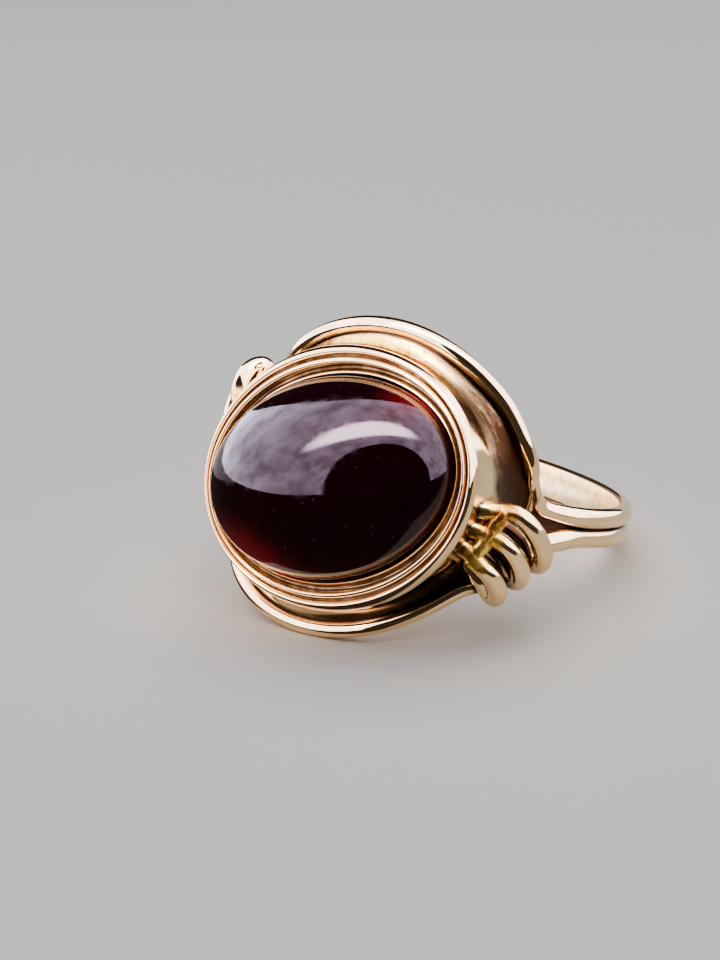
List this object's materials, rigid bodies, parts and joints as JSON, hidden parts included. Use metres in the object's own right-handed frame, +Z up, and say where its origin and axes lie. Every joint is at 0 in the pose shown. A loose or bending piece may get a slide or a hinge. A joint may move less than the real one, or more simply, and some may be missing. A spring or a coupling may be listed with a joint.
{
  "type": "cabochon ring",
  "caption": "Gold dress ring with a large dark red oval cabochon in a beaded bezel, a hollow cove, split wire shoulders bound with wire wraps, and a double wire shank.",
  "frame": {"origin": "centre of the bounding box's footprint on the floor, with the ring lying on its side", "axes": "+Z up from the surface the ring lies on; the stone's face looks towards -Y and -X and a little up; the finger hole's axis leans about 20 degrees from +Z"},
  "size_m": [0.0206, 0.0224, 0.0142],
  "materials": {
    "gold": "polished warm yellow gold",
    "stone": "high polish, deep red and almost opaque"
  },
  "bodies": {
    "root": {"mount": "gold", "cabochon": "stone"}
  },
  "joints": []
}
